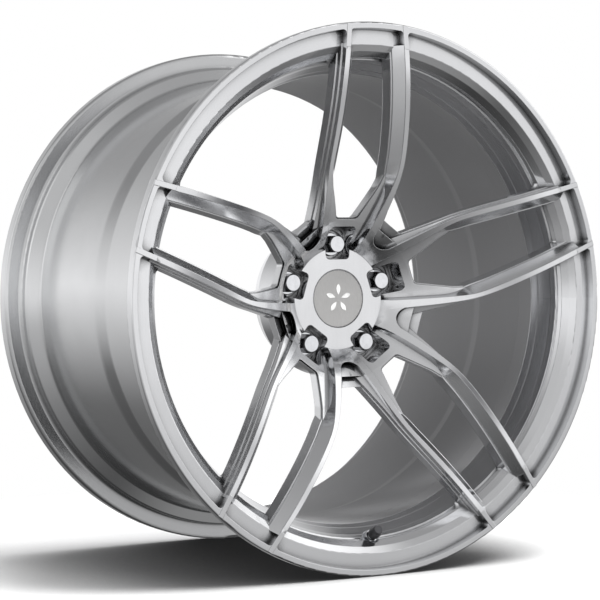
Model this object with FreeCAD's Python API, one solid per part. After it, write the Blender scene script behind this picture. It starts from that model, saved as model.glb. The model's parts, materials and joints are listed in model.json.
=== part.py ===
"""Forged racing wheel: a concave centre with five twin spokes, its barrel, bolts, cap and valve.

Row frame: millimetres, +Z up, wheel axis along Y, open face towards -Y.
The origin is on the axis, in the plane of the face that rests on the hub.
Depths are measured backwards from the plane of the front lip.
"""
import FreeCAD, Part
import math
import os
from FreeCAD import Placement, Rotation, Vector

# ---- overall ----
RIM_RADIUS = 273.7            # 20 inch bead with 17.3 mm flanges
RIM_WIDTH = 325.2             # front lip to rear lip, 12 inches between the flanges
PAD_DEPTH = 129.4             # front lip to the face that rests on the hub, offset 35
SPOKE_PAIRS = 5
PHASE = 1.2                   # degrees the first spoke pair leans from straight up
PITCH = 360.0 / SPOKE_PAIRS

# ---- concave face ----
HUB_FACE_DEPTH = 82.9
HUB_FACE_RADIUS = 52.0        # the face starts to rise towards the lip here
FACE_BREAK_RADIUS = 80.0      # the tight inner curve meets the long outer one
FACE_EDGE_RADIUS = 260.0      # the face is level from here to the lip
FACE_OUTER_CURVE = 322.0
FACE_INNER_CURVE = 104.5
ARM_DEPTH = 25.0
WEB_DEPTH = 24.4

# ---- one arm of a spoke pair, seen from the front ----
KNEE_OUT_Z, KNEE_OUT_X = 126.0, 43.4
KNEE_IN_Z, KNEE_IN_X = 127.0, 39.0
SLOPE_OUT_HUB, SLOPE_IN_HUB = 0.22, 0.27
SLOPE_LIP = -0.077
BEND_OUT, BEND_IN = 20.0, 12.0
BEVEL = 0.7
ARM_DRAFT = 2.0               # growth of each arm's outer wall from crown to back
STEP_ONE, STEP_TWO = 7.2, 13.5
LEDGE = 1.0
LEDGE_START_Z, LEDGE_GROWTH, LEDGE_BEND = 116.0, 0.065, 9.0
PROUD = 2.0                   # spare metal on the crown before the face is turned
CHANNEL_DEPTH = 11.0
CHANNEL_SLOPE_HUB, CHANNEL_SLOPE_LIP = 2.6, 8.4
CHANNEL_SLOPE_SPAN = (104, 134)
STEP_DRAFT = 0.3              # lean of each step's wall and fall of each ledge
ARM_STATIONS = (50, 59, 68, 77, 86, 95, 104, 113, 122, 131, 140, 152, 168, 188, 210, 231, 252)
STRIP_STATIONS = (248, 271)
STRIP_DEPTH = 12.0

# ---- webs between the arms ----
CHANNEL_FLOOR, CHANNEL_STEP, CHANNEL_INSET = 10.6, 12.8, 1.6
WEB_RADIUS = 140.0            # larger than the webs' own outlines
OVERLAP = 0.5                 # layers that are fused share this much depth
WINDOW_HUB_Z = 81.3
VEE_ROUND = 14.4
VEE_ROUND_Z = 78.7
TERRACE_ONE_Z, TERRACE_TWO_Z = 79.0, 90.0
TERRACE_ONE_DEPTH, TERRACE_TWO_DEPTH = 7.0, 13.2

# ---- front ring and barrel ----
LIP_BAND = 0.4
POCKET_RADIUS, POCKET_DEPTH, POCKET_ROUND = 266.3, 9.5, 4.0
POCKET_DRAFT = 1.0
GUSSET_ROUND, GUSSET_Z = 7.0, 238.0
GUSSET_BITE, GUSSET_ROOT, GUSSET_DEPTH = 0.3, 4.0, 30.0
GUSSET_REACH, GUSSET_SINK = 7.3, 0.3
WINDOW_RADIUS = 252.0
RING_BORE = 240.5
CHAMFER_START, CHAMFER_END = (246.0, 14.0), (RING_BORE, 20.0)
BEAD_RADIUS = 256.4
WELL_RADIUS = 232.4
WALL = 4.4
SEAM_DEPTH = 66.0
SPIGOT_LENGTH = 12.0
SPIGOT_RADIUS = 230.2

# ---- hub, bolts and cap ----
BOSS_RADIUS, BOSS_EDGE_DEPTH, PAD_RADIUS = 80.0, 108.7, 72.0
HUB_BORE_RADIUS, HUB_BORE_LENGTH = 33.3, 26.0
BOLT_CIRCLE = 56.0
BOLT_RADIUS, NECK_RADIUS, BOLT_HOLE_RADIUS = 7.0, 6.4, 7.7
LUG_FLOOR, LUG_BORE_RADIUS, LUG_BORE_DEPTH = 93.0, 14.75, 99.0
SEAT_RADIUS, SEAT_SLOPE = 12.2, math.tan(math.radians(30))
BOLT_TOP, BOLT_HEX, BOLT_REACH = 82.6, 17.0, 16.0
SEAT_GAP = 0.1
CAP_RADIUS, CAP_BORE_RADIUS, CAP_SEAT_DEPTH = 29.8, 28.3, 87.0
CAP_CLEARANCE = 0.1           # between the cap and its counterbore, and around the badge
BADGE_RADIUS, BADGE_THICKNESS = 29.0, 1.1
BOLT_NECK_END = 0.6           # how far the slim neck runs on behind the hub face
CAP_FINGER, CAP_FINGERS, FINGER_RADIUS = 15.5, 6, 27.0

# ---- valve ----
VALVE_TILT = 30.0             # degrees between the stem and the wheel axis
VALVE_FACE_R, VALVE_FACE_DEPTH = 240.0, 29.0
VALVE_ANGLE = -89.5           # place round the wheel, from +X towards +Z
VALVE_WALL = 10.0
VALVE_SPOT_RADIUS, VALVE_HOLE_RADIUS = 8.5, 5.75
STEM_RADIUS, STEM_BORE, STEM_TOP = 4.0, 2.6, 20.0
CAP_INSIDE = 4.08
SPRING_TURNS, SPRING_WIRE = 5, 0.22


def at(depth):
    """Y of a depth behind the front lip."""
    return depth - PAD_DEPTH


def face_depth(r):
    """Depth of the concave face at a radius."""
    if r >= FACE_EDGE_RADIUS:
        return 0.0
    if r >= FACE_BREAK_RADIUS:
        return FACE_OUTER_CURVE - math.sqrt(FACE_OUTER_CURVE ** 2 - (FACE_EDGE_RADIUS - r) ** 2)
    centre_r, centre_d = inner_curve_centre()
    return centre_d - math.sqrt(FACE_INNER_CURVE ** 2 - (centre_r - r) ** 2)


def inner_curve_centre():
    """Centre of the tight inner curve, tangent to the long outer one."""
    run = FACE_EDGE_RADIUS - FACE_BREAK_RADIUS
    drop = math.sqrt(FACE_OUTER_CURVE ** 2 - run ** 2)
    share = FACE_INNER_CURVE / FACE_OUTER_CURVE
    return FACE_BREAK_RADIUS + run * share, FACE_OUTER_CURVE - drop + drop * share


def rounded_edges(corners, place):
    """Closed outline through corners (a, b, radius), each corner rounded by its radius."""
    points = [Vector(a, b, 0) for a, b, _ in corners]
    joints = []
    for i, (_, _, radius) in enumerate(corners):
        here = points[i]
        back = (points[i - 1] - here).normalize()
        ahead = (points[(i + 1) % len(points)] - here).normalize()
        if radius <= 0:
            joints.append((here, None, here))
            continue
        half = back.getAngle(ahead) / 2
        reach = radius / math.tan(half)
        inward = (back + ahead).normalize()
        middle = here + inward * (radius / math.sin(half) - radius)
        joints.append((here + back * reach, middle, here + ahead * reach))
    edges = []
    for i, (start, middle, end) in enumerate(joints):
        if middle is not None:
            edges.append(Part.Arc(place(start), place(middle), place(end)).toShape())
        following = joints[(i + 1) % len(joints)][0]
        if (following - end).Length > 1e-6:
            edges.append(Part.LineSegment(place(end), place(following)).toShape())
    return edges


def turned(corners):
    """Solid of revolution about the wheel axis, from corners (radius, depth[, rounding])."""
    full = [(c[0], c[1], c[2] if len(c) > 2 else 0) for c in corners]
    edges = rounded_edges(full, lambda p: Vector(p.x, at(p.y), 0))
    face = Part.Face(Part.Wire(Part.__sortEdges__(edges)))
    return face.revolve(Vector(0, 0, 0), Vector(0, 1, 0), 360)


def column(corners, depth_from, depth_to):
    """Prism along the wheel axis, from corners (x, z[, rounding])."""
    full = [(c[0], c[1], c[2] if len(c) > 2 else 0) for c in corners]
    edges = rounded_edges(full, lambda p: Vector(p.x, at(depth_from), p.y))
    face = Part.Face(Part.Wire(Part.__sortEdges__(edges)))
    return face.extrude(Vector(0, depth_to - depth_from, 0))


def drum(radius, depth_from, depth_to, x=0.0, z=0.0):
    """Cylinder along the wheel axis."""
    start = Vector(x, at(depth_from), z)
    return Part.makeCylinder(radius, depth_to - depth_from, start, Vector(0, 1, 0))


def spun(shape, degrees):
    """Copy turned about the wheel axis, anticlockwise seen from the front."""
    copy = shape.copy()
    copy.rotate(Vector(0, 0, 0), Vector(0, 1, 0), -degrees)
    return copy


def round_the_wheel(shape, offset=0.0):
    """Five copies, one per spoke pair."""
    return [spun(shape, PHASE + offset + PITCH * k) for k in range(SPOKE_PAIRS)]


def bent(z, knee_z, knee_x, slope_hub, slope_lip, bend):
    """Two straight slopes joined by a smooth bend at the knee."""
    run = z - knee_z
    mean = (slope_hub + slope_lip) / 2
    swing = (slope_hub - slope_lip) / 2
    return knee_x + mean * run - swing * (math.hypot(run, bend) - bend)


def blend(z, start, end):
    """Smooth step from 0 to 1 between two heights."""
    t = min(max((z - start) / (end - start), 0), 1)
    return t * t * (3 - 2 * t)


def arm_outer(z):
    return bent(z, KNEE_OUT_Z, KNEE_OUT_X, SLOPE_OUT_HUB, SLOPE_LIP, BEND_OUT)


def arm_inner(z):
    return bent(z, KNEE_IN_Z, KNEE_IN_X, SLOPE_IN_HUB, SLOPE_LIP, BEND_IN)


def section(points, z):
    """Closed polygon of (x, depth) points across the spoke at height z."""
    corners = [Vector(x, at(d), z) for x, d in points]
    return Part.makePolygon(corners + corners[:1])


def arm_points(z):
    """Cross-section of the right-hand arm: narrow crown, stepped outside, sloped inside."""
    out = arm_outer(z)
    inn = arm_inner(z)
    d_out = face_depth(math.hypot(out, z))
    d_in = face_depth(math.hypot(inn, z))
    short = LEDGE_START_Z - z
    ledge_one = LEDGE + LEDGE_GROWTH * (short + math.hypot(short, LEDGE_BEND))
    step_two = out + ledge_one + 2 * STEP_DRAFT
    steeper = (CHANNEL_SLOPE_LIP - CHANNEL_SLOPE_HUB) * blend(z, *CHANNEL_SLOPE_SPAN)
    foot = inn - CHANNEL_SLOPE_HUB - steeper
    return [
        (inn, d_in - PROUD), (out, d_out - PROUD), (out + STEP_DRAFT, d_out + STEP_ONE),
        (step_two - STEP_DRAFT, d_out + STEP_ONE + STEP_DRAFT),
        (step_two, d_out + STEP_TWO), (step_two + LEDGE, d_out + STEP_TWO + STEP_DRAFT),
        (step_two + LEDGE + 2 * STEP_DRAFT, d_out + ARM_DEPTH),
        (foot - 3.4, d_in + ARM_DEPTH), (foot - 1.4, d_in + CHANNEL_DEPTH + 1.8),
        (foot - 0.2, d_in + CHANNEL_DEPTH + 1.5), (foot, d_in + CHANNEL_DEPTH),
        (inn - 0.2, d_in + BEVEL),
    ]


def strip_points(z):
    """The arm's crown carried on across the lip pockets to the rim edge."""
    out = arm_outer(z)
    inn = arm_inner(z)
    return [(inn, 0), (out, 0), (out, STRIP_DEPTH), (inn, STRIP_DEPTH)]


def mirrored(points):
    return [(-x, d) for x, d in reversed(points)]


def lofted(profile, stations, flip, ruled):
    """Loft through the cross-sections of one arm."""
    wires = []
    for z in stations:
        points = profile(z)
        if flip:
            points = mirrored(points)
        wires.append(section(points, z))
    return Part.makeLoft(wires, True, ruled)


def face_curve(drop, r_from, r_to):
    """The concave face, lowered by drop: edges of its two arcs from one radius to another."""
    edges = []
    spans = ((r_from, FACE_BREAK_RADIUS), (FACE_BREAK_RADIUS, min(r_to, FACE_EDGE_RADIUS)))
    for start, end in spans:
        if end > start:
            radii = (start, (start + end) / 2, end)
            arc = Part.Arc(*[Vector(r, at(face_depth(r) + drop), 0) for r in radii])
            edges.append(arc.toShape())
    if r_to > FACE_EDGE_RADIUS:
        flat = [Vector(r, at(drop), 0) for r in (FACE_EDGE_RADIUS, r_to)]
        edges.append(Part.LineSegment(*flat).toShape())
    return edges


def face_band(top, bottom, r_from, r_to):
    """Ring of material between two depths below the concave face."""
    edges = face_curve(top, r_from, r_to) + face_curve(bottom, r_from, r_to)
    for r in (r_from, r_to):
        ends = [Vector(r, at(face_depth(r) + drop), 0) for drop in (top, bottom)]
        edges.append(Part.LineSegment(*ends).toShape())
    face = Part.Face(Part.Wire(Part.__sortEdges__(edges)))
    return face.revolve(Vector(0, 0, 0), Vector(0, 1, 0), 360)


def window_outline(inset):
    """Hub end of the opening between the two arms, made smaller by inset."""
    near, far = 12.6 - inset * 0.7, 27.4 - inset
    return [
        (-near, WINDOW_HUB_Z + inset, 4.5), (near, WINDOW_HUB_Z + inset, 4.5), (far, 113, 12),
        (far + 5.6, 130), (far + 5.6, 150), (-far - 5.6, 150), (-far - 5.6, 130), (-far, 113, 12),
    ]


def channel_web():
    """Sunken floor between the two arms, from the bolt pocket to the window, with a step."""
    plan = [(-14, 30), (14, 30), (26, 70), (33, 96), (37, 112), (37, 128), (-37, 128),
            (-37, 112), (-33, 96), (-26, 70)]
    blank = column(plan, 0, PAD_DEPTH)
    floor = blank.common(
        face_band(CHANNEL_FLOOR, CHANNEL_STEP + OVERLAP, HUB_FACE_RADIUS, WEB_RADIUS))
    base = blank.common(face_band(CHANNEL_STEP, WEB_DEPTH, HUB_FACE_RADIUS, WEB_RADIUS))
    return [floor.cut(column(window_outline(0), 0, PAD_DEPTH)),
            base.cut(column(window_outline(CHANNEL_INSET), 0, PAD_DEPTH))]


def spoke_arms():
    """Two mirrored arms, their crowns turned down to the concave face."""
    turned_face = face_band(0, 2 * ARM_DEPTH, HUB_FACE_RADIUS, FACE_EDGE_RADIUS)
    arms = []
    for flip in (False, True):
        arms.append(lofted(arm_points, ARM_STATIONS, flip, False).common(turned_face))
    return arms


def lip_ring():
    """Front ring with the crowns carried across its pockets and rounded pocket corners."""
    strips = []
    for flip in (False, True):
        strips += round_the_wheel(lofted(strip_points, STRIP_STATIONS, flip, True))
    ring = front_ring().multiFuse(strips).Solids[0]
    corners = []
    for edge in ring.Edges:
        box = edge.BoundBox
        middle = edge.CenterOfMass
        upright = box.YLength > 5 and max(box.XLength, box.ZLength) < 2 * POCKET_DRAFT
        on_wall = abs(math.hypot(middle.x, middle.z) - POCKET_RADIUS) < POCKET_DRAFT
        on_seam = abs(middle.z) < 1
        if upright and on_wall and not on_seam:
            corners.append(edge)
    return ring.makeFillet(POCKET_ROUND, corners)


def gusset_band():
    """Cone just behind the ring's inner chamfer, carried on towards the axis."""
    (top_r, top_depth), (end_r, end_depth) = CHAMFER_START, CHAMFER_END
    slope = (end_depth - top_depth) / (top_r - end_r)
    top = top_depth + GUSSET_SINK
    inner = end_r - GUSSET_REACH
    return turned([(top_r, top), (inner, top + slope * (top_r - inner)), (inner, GUSSET_DEPTH),
                   (top_r, GUSSET_DEPTH)])


def window_gussets():
    """Rounded fillings where the arms meet the ring, between a pair and beside it."""
    band = gusset_band()
    gussets = []
    centre_radius = RING_BORE - GUSSET_ROUND + GUSSET_BITE
    rooted = (RING_BORE + GUSSET_ROOT) / centre_radius
    walls = ((arm_inner(GUSSET_Z) - CHANNEL_SLOPE_LIP, -1), (arm_outer(GUSSET_Z) + ARM_DRAFT, 1))
    for side in (-1, 1):
        for wall, away in walls:
            x = wall + away * GUSSET_ROUND
            z = math.sqrt(centre_radius ** 2 - x ** 2)
            far = wall - away * GUSSET_ROOT / 2
            plan = [(side * x, z), (side * x * rooted, z * rooted),
                    (side * far, z * rooted), (side * far, z)]
            wedge = column(plan, 0, PAD_DEPTH).common(band)
            gussets.append(wedge.cut(drum(GUSSET_ROUND, 0, PAD_DEPTH, side * x, z)))
    return gussets


def vee_webs():
    """Terraces in the vee between neighbouring pairs, each lower than the last."""
    crown = column([(-12, 44), (12, 44), (19, 72), (-19, 72)], 0, PAD_DEPTH)
    crown = crown.common(face_band(0, WEB_DEPTH, HUB_FACE_RADIUS, WEB_RADIUS))
    shapes = [crown.cut(drum(VEE_ROUND, 0, PAD_DEPTH, 0, VEE_ROUND_Z))]
    terraces = ((TERRACE_ONE_Z, 20, TERRACE_ONE_DEPTH), (TERRACE_TWO_Z, 25, TERRACE_TWO_DEPTH))
    for far_z, half, top in terraces:
        plan = [(-12, 44), (12, 44), (half, far_z), (-half, far_z)]
        band = face_band(top, WEB_DEPTH, HUB_FACE_RADIUS, WEB_RADIUS)
        shapes.append(column(plan, 0, PAD_DEPTH).common(band))
    return shapes


def hub_boss():
    """Round boss behind the webs, with the face that rests on the hub."""
    return turned([(0, HUB_FACE_DEPTH), (HUB_FACE_RADIUS, HUB_FACE_DEPTH), (60, 94), (BOSS_RADIUS, 78),
                   (BOSS_RADIUS, BOSS_EDGE_DEPTH, 3), (PAD_RADIUS, PAD_DEPTH, 1), (0, PAD_DEPTH)])


def front_ring():
    """Lip, tyre flange, bead seat and the front wall of the well, with the barrel spigot."""
    inner = WELL_RADIUS - WALL
    return turned([
        (POCKET_RADIUS + POCKET_DRAFT, LIP_BAND), (RIM_RADIUS, LIP_BAND, 1.6), (RIM_RADIUS, 13.5, 5),
        (BEAD_RADIUS + 1, 13.8, 5), (BEAD_RADIUS - 1.8, 33), (BEAD_RADIUS, 36, 2),
        (BEAD_RADIUS - 1.6, 40, 3), (WELL_RADIUS, 54, 6), (WELL_RADIUS, SEAM_DEPTH),
        (SPIGOT_RADIUS, SEAM_DEPTH), (SPIGOT_RADIUS, SEAM_DEPTH + SPIGOT_LENGTH),
        (inner, SEAM_DEPTH + SPIGOT_LENGTH), (inner, 57, 6), (231, 49.6), (231.4, 48.2),
        (236.4, 35), (236.8, 33.6), (238.6, 28.2, 0.6), (RING_BORE, 27.4, 0.5),
        (*CHAMFER_END, 1), (*CHAMFER_START, 1), (WINDOW_RADIUS, POCKET_DEPTH, 1),
        (POCKET_RADIUS, POCKET_DEPTH),
    ])


def lug_pocket():
    """Recess for one bolt: tapered pocket, round bore, cone seat and clearance hole."""
    pocket = column([(-13.9, 40.3, 4.5), (13.9, 40.3, 4.5), (15.8, 73.6, 5), (-15.8, 73.6, 5)],
                    0, LUG_FLOOR)
    ledge = column([(-12.6, 41.6, 4), (12.6, 41.6, 4), (14.3, 71, 6), (-14.3, 71, 6)],
                   0, LUG_FLOOR + 2.5)
    bore = drum(LUG_BORE_RADIUS, 60, LUG_BORE_DEPTH, 0, BOLT_CIRCLE)
    cone_length = (SEAT_RADIUS - BOLT_HOLE_RADIUS) / SEAT_SLOPE
    cone = Part.makeCone(SEAT_RADIUS, BOLT_HOLE_RADIUS, cone_length,
                         Vector(0, at(LUG_BORE_DEPTH), BOLT_CIRCLE), Vector(0, 1, 0))
    hole = drum(BOLT_HOLE_RADIUS, 60, PAD_DEPTH + 1, 0, BOLT_CIRCLE)
    return [pocket, ledge, bore, cone, hole]


def pad_relief():
    """Shallow lightening recess in the hub face between two bolts."""
    return column([(-14, 44, 4), (14, 44, 4), (19, 64, 5), (-19, 64, 5)],
                  PAD_DEPTH - 3, PAD_DEPTH + 1)


def wheel_centre():
    """Hub, spokes, face ring and front lip, forged in one piece."""
    solids = [lip_ring()]
    for piece in spoke_arms() + channel_web() + window_gussets():
        solids += round_the_wheel(piece)
    for piece in vee_webs():
        solids += round_the_wheel(piece, PITCH / 2)
    body = hub_boss().multiFuse(solids)
    cutters = [
        drum(HUB_BORE_RADIUS, PAD_DEPTH - HUB_BORE_LENGTH, PAD_DEPTH + 1),
        drum(CAP_BORE_RADIUS, 60, PAD_DEPTH),
        drum(CAP_RADIUS + 0.3, 60, CAP_SEAT_DEPTH),
    ]
    for piece in lug_pocket():
        cutters += round_the_wheel(piece)
    cutters += round_the_wheel(pad_relief(), PITCH / 2)
    cutters += valve_cutters()
    return body.cut(cutters).removeSplitter()


def barrel():
    """Rolled barrel: well, long taper, rear bead seat and rear lip."""
    inner = WELL_RADIUS - WALL
    end = RIM_WIDTH
    return turned([
        (SPIGOT_RADIUS, SEAM_DEPTH), (WELL_RADIUS, SEAM_DEPTH), (WELL_RADIUS, 148, 12),
        (236.6, 163, 25), (242.0, 288, 4), (BEAD_RADIUS - 1.4, 295.5, 3), (BEAD_RADIUS + 0.2, 298, 2),
        (BEAD_RADIUS - 1.4, 301, 2), (BEAD_RADIUS, 308, 5), (RIM_RADIUS, 309.5, 4),
        (RIM_RADIUS, end, 2.0), (263, end, 3), (250, 314, 6), (247.8, 308), (247.6, 298, 5),
        (237, 286, 10), (231.8, 165, 25), (inner, 150, 12), (inner, SEAM_DEPTH + SPIGOT_LENGTH),
        (SPIGOT_RADIUS, SEAM_DEPTH + SPIGOT_LENGTH),
    ])


def valve_placement():
    """Moves a shape drawn along +Z, face at the origin, to the valve's hole."""
    lean = Rotation(Vector(1, 0, 0), 90 - VALVE_TILT)
    turn = Rotation(Vector(0, 1, 0), -(VALVE_ANGLE + 90))
    base = Vector(0, at(VALVE_FACE_DEPTH), -VALVE_FACE_R)
    return Placement(Vector(0, 0, 0), turn).multiply(Placement(base, lean))


def valve_turned(corners):
    """Solid of revolution about the valve's own axis, from corners (radius, height)."""
    full = [(c[0], c[1], c[2] if len(c) > 2 else 0) for c in corners]
    edges = rounded_edges(full, lambda p: Vector(p.x, 0, p.y))
    face = Part.Face(Part.Wire(Part.__sortEdges__(edges)))
    solid = face.revolve(Vector(0, 0, 0), Vector(0, 0, 1), 360)
    solid.Placement = valve_placement().multiply(solid.Placement)
    return solid


def valve_cutters():
    """Spot faces on both sides of the well wall and the hole between them."""
    hole, spot, back = VALVE_HOLE_RADIUS, VALVE_SPOT_RADIUS, -VALVE_WALL
    return [
        valve_turned([(0, back - 1), (hole, back - 1), (hole, 1), (0, 1)]),
        valve_turned([(0, 0), (spot, 0, 1), (spot, 30), (0, 30)]),
        valve_turned([(0, back - 14), (spot, back - 14), (spot, back), (0, back)]),
    ]


def hexagon(across_flats):
    """Corners of a hexagon about the origin, one flat facing the second axis."""
    reach = across_flats / math.sqrt(3)
    angles = [math.radians(60 * k) for k in range(6)]
    return [(reach * math.cos(a), reach * math.sin(a)) for a in angles]


def lug_bolt():
    """Bolt with a domed hexagon head, cone seat and plain shank, drawn at the top hole."""
    tip = PAD_DEPTH + BOLT_REACH
    seat = LUG_BORE_DEPTH - SEAT_GAP
    throat = seat + (SEAT_RADIUS - NECK_RADIUS) / SEAT_SLOPE
    head = column(hexagon(BOLT_HEX), BOLT_TOP, seat - 1)
    crown = turned([(0, BOLT_TOP), (8.0, BOLT_TOP, 0.5), (10.4, BOLT_TOP + 1.5),
                    (10.4, seat), (0, seat)])
    body = turned([(0, seat - 3.5), (SEAT_RADIUS - 0.6, seat - 3.5, 0.6), (SEAT_RADIUS, seat - 1.8),
                   (SEAT_RADIUS, seat), (NECK_RADIUS, throat), (NECK_RADIUS, PAD_DEPTH + BOLT_NECK_END),
                   (BOLT_RADIUS, PAD_DEPTH + 2 * BOLT_NECK_END), (BOLT_RADIUS, tip - 1.5),
                   (BOLT_RADIUS - 1.5, tip), (0, tip)])
    bolt = head.common(crown).fuse(body)
    bolt.translate(Vector(0, 0, BOLT_CIRCLE))
    return bolt


def ring_of(radius, wire, depth):
    """Round-wire ring about the wheel axis."""
    return Part.makeTorus(radius, wire, Vector(0, at(depth), 0), Vector(0, 1, 0))


def centre_cap_shell():
    """Cap disc with a shallow tray in front and a ring of spring fingers behind."""
    back = CAP_SEAT_DEPTH - CAP_CLEARANCE
    tip = back + CAP_FINGER
    tray = HUB_FACE_DEPTH + BADGE_THICKNESS + CAP_CLEARANCE
    rim = BADGE_RADIUS + CAP_CLEARANCE
    shell = turned([
        (0, tray), (rim, tray),
        (rim, HUB_FACE_DEPTH), (CAP_RADIUS, HUB_FACE_DEPTH, 0.5), (CAP_RADIUS, back),
        (FINGER_RADIUS, back), (FINGER_RADIUS, tip - 4), (CAP_BORE_RADIUS - 0.3, tip - 2.5),
        (CAP_BORE_RADIUS - 0.8, tip), (FINGER_RADIUS - 2, tip), (FINGER_RADIUS - 2, back - 1),
        (0, back - 1),
    ])
    slots = []
    for k in range(CAP_FINGERS):
        slot = column([(-3, 10), (3, 10), (3, 40), (-3, 40)], back + 2, tip + 1)
        slots.append(spun(slot, 360 * k / CAP_FINGERS))
    return shell.cut(slots)


def centre_cap_badge():
    """Thin plate that lies in the cap's tray."""
    top = HUB_FACE_DEPTH + CAP_CLEARANCE
    bottom = top + BADGE_THICKNESS
    return turned([(0, top), (BADGE_RADIUS, top, 0.3), (BADGE_RADIUS, bottom), (0, bottom)])


def cap_retaining_ring():
    """Spring wire that presses the cap's fingers outwards."""
    return ring_of(FINGER_RADIUS - 2.9, 0.85, CAP_SEAT_DEPTH + CAP_FINGER - 5)


def valve_hexagon(across_flats, z_from, z_to, bore):
    """Hexagonal nut about the valve axis."""
    corners = [Vector(x, y, z_from) for x, y in hexagon(across_flats)]
    face = Part.Face(Part.makePolygon(corners + corners[:1]))
    nut = face.extrude(Vector(0, 0, z_to - z_from))
    reach = across_flats / math.sqrt(3)
    edge = reach - across_flats / 2
    dome = [(bore, z_from), (reach, z_from), (reach, z_to - edge * 0.6), (across_flats / 2, z_to),
            (bore, z_to)]
    nut.Placement = valve_placement().multiply(nut.Placement)
    return nut.common(valve_turned(dome))


def valve_parts():
    """Clamped metal valve: stem, seal, washer, nut, core and cap, drawn on the valve axis."""
    foot = -VALVE_WALL
    neck = VALVE_HOLE_RADIUS - 0.1
    return {
        "valve_stem": valve_turned([
            (1.2, foot - 6), (8.0, foot - 6, 0.8), (8.0, foot - 2.5, 0.5), (STEM_RADIUS, foot - 2.5),
            (STEM_RADIUS, STEM_TOP, 0.5), (STEM_BORE, STEM_TOP), (STEM_BORE, 7), (1.9, 6),
            (1.2, 5),
        ]),
        "valve_grommet": valve_turned([
            (STEM_RADIUS, foot - 2.5), (8.2, foot - 2.5, 0.4), (8.2, foot), (neck, foot),
            (neck, -1), (STEM_RADIUS, -1),
        ]),
        "valve_washer": valve_turned([
            (STEM_RADIUS + 0.1, 0), (7.6, 0), (7.6, 1.2, 0.3), (STEM_RADIUS + 0.1, 1.2),
        ]),
        "valve_nut": valve_hexagon(12.0, 1.2, 7.2, STEM_RADIUS),
        "valve_core_body": valve_turned([
            (1.0, 12.5), (1.6, 12.5), (STEM_BORE, 13.5), (STEM_BORE, 18.5), (1.0, 18.5),
        ]),
        "valve_core_pin": valve_turned([
            (0, 7.6), (1.7, 7.6), (1.7, 8.4), (0.5, 8.4), (0.5, 19.6, 0.2), (0, 19.6),
        ]),
        "valve_core_seal": valve_turned([(0.5, 8.4), (1.7, 8.4), (1.3, 9.2), (0.5, 9.2)]),
        "valve_core_spring": valve_spring(9.3, 12.4),
        "valve_cap": valve_turned([
            (0, STEM_TOP + 2.2), (4.5, STEM_TOP + 2.2, 0.8), (5.4, STEM_TOP - 0.5), (5.4, 9.2, 0.4),
            (CAP_INSIDE, 9.2), (CAP_INSIDE, STEM_TOP + 1), (0, STEM_TOP + 1),
        ]),
        "valve_cap_seal": valve_turned([
            (0, STEM_TOP + 0.2), (3.7, STEM_TOP + 0.2), (3.7, STEM_TOP + 1), (0, STEM_TOP + 1),
        ]),
    }


def valve_spring(z_from, z_to):
    """Small coil spring between the core's collar and its sealed foot."""
    coil = 1.05
    pitch = (z_to - z_from - 2 * SPRING_WIRE) / SPRING_TURNS
    path = Part.makeHelix(pitch, pitch * SPRING_TURNS, coil)
    path.translate(Vector(0, 0, z_from + SPRING_WIRE))
    start = Vector(coil, 0, z_from + SPRING_WIRE)
    ring = Part.Wire(Part.makeCircle(SPRING_WIRE, start, Vector(0, 1, 0)))
    spring = Part.Wire(path).makePipeShell([ring], True, True)
    spring.Placement = valve_placement().multiply(spring.Placement)
    return spring


def main():
    os.makedirs("parts", exist_ok=True)
    nodes = {
        "wheel_centre": wheel_centre(),
        "barrel": barrel(),
        "centre_cap_shell": centre_cap_shell(),
        "centre_cap_badge": centre_cap_badge(),
        "cap_retaining_ring": cap_retaining_ring(),
    }
    for k, bolt in enumerate(round_the_wheel(lug_bolt())):
        nodes["lug_bolt_" + str(k + 1)] = bolt
    nodes.update(valve_parts())
    for name, shape in nodes.items():
        shape.exportStep("parts/" + name + ".step")
        print(name, shape.ShapeType, len(shape.Solids), round(shape.Volume), shape.isValid())


main()
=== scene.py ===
"""Looks of a forged racing wheel: polished centre, satin barrel, chrome bolts, cap and valve.

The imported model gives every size. This add-on gives its parts their finishes, adds the small
repeated details and makes the stage, the lights and the camera.
"""
import json
import math

import bmesh
import bpy
from bpy.props import FloatProperty, FloatVectorProperty, IntProperty, PointerProperty
from mathutils import Matrix, Vector


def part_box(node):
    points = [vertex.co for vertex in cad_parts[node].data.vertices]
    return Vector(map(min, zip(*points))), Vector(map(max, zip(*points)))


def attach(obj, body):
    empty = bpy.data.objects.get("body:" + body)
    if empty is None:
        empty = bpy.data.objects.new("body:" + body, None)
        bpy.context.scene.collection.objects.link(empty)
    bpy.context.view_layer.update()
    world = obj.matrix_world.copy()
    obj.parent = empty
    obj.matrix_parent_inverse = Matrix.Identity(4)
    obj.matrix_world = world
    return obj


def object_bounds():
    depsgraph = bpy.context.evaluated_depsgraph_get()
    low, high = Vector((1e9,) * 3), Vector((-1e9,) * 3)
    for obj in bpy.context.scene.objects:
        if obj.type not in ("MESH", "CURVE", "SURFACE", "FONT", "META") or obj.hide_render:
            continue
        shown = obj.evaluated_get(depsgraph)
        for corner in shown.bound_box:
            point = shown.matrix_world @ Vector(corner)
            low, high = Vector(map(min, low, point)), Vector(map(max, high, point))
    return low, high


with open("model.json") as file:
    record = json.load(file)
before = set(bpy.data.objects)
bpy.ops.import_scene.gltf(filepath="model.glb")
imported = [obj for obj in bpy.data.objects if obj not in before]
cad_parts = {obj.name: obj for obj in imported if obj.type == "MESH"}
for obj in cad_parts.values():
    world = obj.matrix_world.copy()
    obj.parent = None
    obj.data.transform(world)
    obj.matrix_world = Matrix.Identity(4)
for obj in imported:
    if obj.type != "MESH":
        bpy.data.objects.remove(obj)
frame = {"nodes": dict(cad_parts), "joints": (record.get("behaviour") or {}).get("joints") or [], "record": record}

CAD_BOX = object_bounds()
MM = 0.001
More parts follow.
